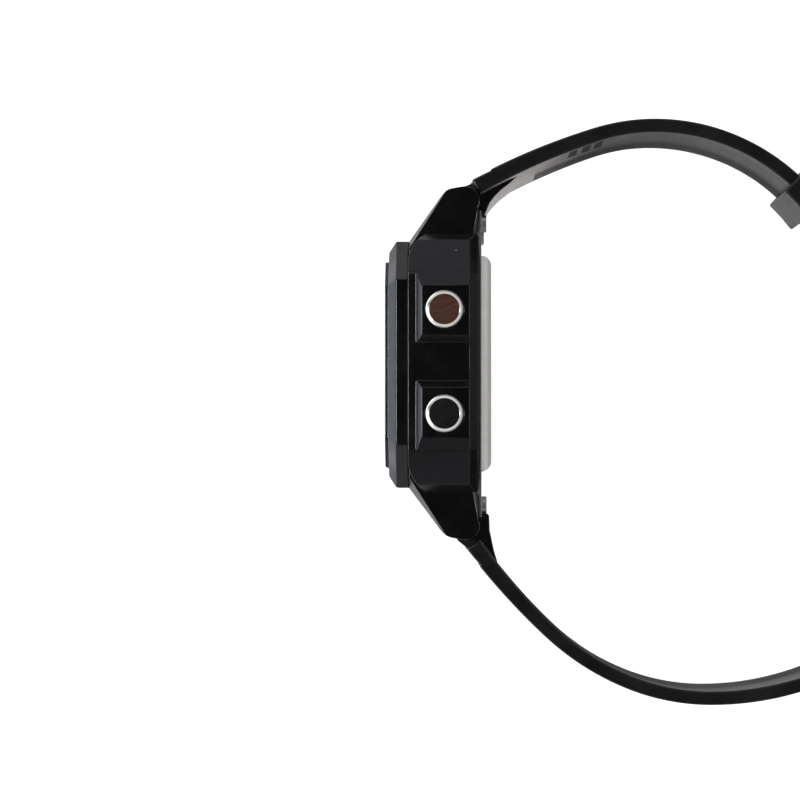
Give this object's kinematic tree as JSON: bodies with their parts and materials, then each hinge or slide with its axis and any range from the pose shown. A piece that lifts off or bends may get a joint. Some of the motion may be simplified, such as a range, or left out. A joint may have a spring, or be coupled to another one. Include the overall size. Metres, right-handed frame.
{
  "type": "digital sports watch",
  "caption": "Digital sports watch with a rectangular resin case, side buttons, screwed steel back and an open resin strap with buckle.",
  "frame": {"origin": "centre of the flat outer face of the case back", "axes": "+X towards 6 o'clock along the watch's length, +Y out of the case back towards the wrist, +Z towards 3 o'clock; the watch lies on its 9 o'clock side as seen in the picture, with the dial facing -Y"},
  "size_m": [0.0748, 0.0807, 0.0424],
  "materials": {
    "case_resin": "satin moulded resin",
    "strap_resin": "matt soft moulded resin",
    "buckle_resin": "satin moulded resin",
    "crystal_glass": "clear polished",
    "seal_rubber": "matt",
    "back_steel": "satin pressed steel",
    "button_steel": "turned, dark coated faces and bright bevels",
    "screw_steel": "plain",
    "spring_brass": "plain",
    "battery_steel": "smooth",
    "mask_print": "printed dark grey",
    "lcd_glass": "grey green",
    "light_guide_plastic": "milky",
    "led_plastic": "clear yellow",
    "strip_rubber": "matt",
    "module_plastic": "moulded",
    "holder_plastic": "moulded",
    "board_laminate": "lacquered",
    "chip_resin": "epoxy",
    "capacitor_ceramic": "plain"
  },
  "bodies": {
    "watch_case": {"case_shell": "case_resin", "bezel": "case_resin", "crystal": "crystal_glass", "crystal_gasket": "seal_rubber", "case_back": "back_steel", "case_back_gasket": "seal_rubber", "case_back_screws": "screw_steel", "display_mask": "mask_print", "lcd_panel": "lcd_glass", "light_guide": "light_guide_plastic", "backlight_led": "led_plastic", "contact_strips": "strip_rubber", "module_frame": "module_plastic", "circuit_board": "board_laminate", "processor_chip": "chip_resin", "quartz_can": "screw_steel", "capacitors": "capacitor_ceramic", "battery_holder": "holder_plastic", "battery": "battery_steel", "battery_contact": "spring_brass", "battery_clip": "screw_steel", "module_screws": "screw_steel", "switch_contacts": "spring_brass", "piezo_disc": "spring_brass", "buzzer_spring": "screw_steel", "lug_bar_tubes": "screw_steel", "lug_bar_pins": "screw_steel", "lug_bar_springs": "screw_steel", "pusher_spring_upper_right": "screw_steel", "pusher_spring_lower_right": "screw_steel", "pusher_spring_upper_left": "screw_steel", "pusher_spring_lower_left": "screw_steel"},
    "short_strap": {"strap_short": "strap_resin", "fixed_keeper": "strap_resin"},
    "long_strap": {"strap_long": "strap_resin"},
    "keeper": {"free_keeper": "strap_resin"},
    "buckle": {"buckle_frame": "buckle_resin", "buckle_bar_tube": "screw_steel", "buckle_bar_pins": "screw_steel", "buckle_bar_spring": "screw_steel"},
    "tongue": {"buckle_tongue": "screw_steel"},
    "upper_right_button": {"pusher_upper_right": "button_steel", "pusher_o_ring_upper_right": "seal_rubber", "pusher_clip_upper_right": "screw_steel"},
    "lower_right_button": {"pusher_lower_right": "button_steel", "pusher_o_ring_lower_right": "seal_rubber", "pusher_clip_lower_right": "screw_steel"},
    "upper_left_button": {"pusher_upper_left": "button_steel", "pusher_o_ring_upper_left": "seal_rubber", "pusher_clip_upper_left": "screw_steel"},
    "lower_left_button": {"pusher_lower_left": "button_steel", "pusher_o_ring_lower_left": "seal_rubber", "pusher_clip_lower_left": "screw_steel"}
  },
  "joints": [
    {"name": "short_strap_hinge", "type": "hinge", "parent": "watch_case", "child": "short_strap", "pos_m": [-0.0204, -0.00335, 0], "axis": [0, 0, 1], "range_deg": [0, 60]},
    {"name": "long_strap_hinge", "type": "hinge", "parent": "watch_case", "child": "long_strap", "pos_m": [0.0204, -0.00335, 0], "axis": [0, 0, -1], "range_deg": [0, 60]},
    {"name": "free_keeper_slide", "type": "hinge", "parent": "short_strap", "child": "keeper", "pos_m": [-0.00476, 0.02128, 0], "axis": [0, 0, 1], "range_deg": [-3.6, 9]},
    {"name": "buckle_hinge", "type": "hinge", "parent": "short_strap", "child": "buckle", "pos_m": [-0.00221, 0.04667, 0], "axis": [0, 0, 1], "range_deg": [-20, 60]},
    {"name": "tongue_hinge", "type": "hinge", "parent": "buckle", "child": "tongue", "pos_m": [-0.00221, 0.04667, 0], "axis": [0, 0, 1], "range_deg": [0, 100]},
    {"name": "upper_right_button_press", "type": "slide", "parent": "watch_case", "child": "upper_right_button", "axis": [0, 0, -1], "range_m": [0, 0.0006], "stiffness_N_per_m": 1000, "springref_m": -0.001, "deforming": ["pusher_spring_upper_right"]},
    {"name": "lower_right_button_press", "type": "slide", "parent": "watch_case", "child": "lower_right_button", "axis": [0, 0, -1], "range_m": [0, 0.0006], "stiffness_N_per_m": 1000, "springref_m": -0.001, "deforming": ["pusher_spring_lower_right"]},
    {"name": "upper_left_button_press", "type": "slide", "parent": "watch_case", "child": "upper_left_button", "axis": [0, 0, 1], "range_m": [0, 0.0006], "stiffness_N_per_m": 1000, "springref_m": -0.001, "deforming": ["pusher_spring_upper_left"]},
    {"name": "lower_left_button_press", "type": "slide", "parent": "watch_case", "child": "lower_left_button", "axis": [0, 0, 1], "range_m": [0, 0.0006], "stiffness_N_per_m": 1000, "springref_m": -0.001, "deforming": ["pusher_spring_lower_left"]}
  ]
}
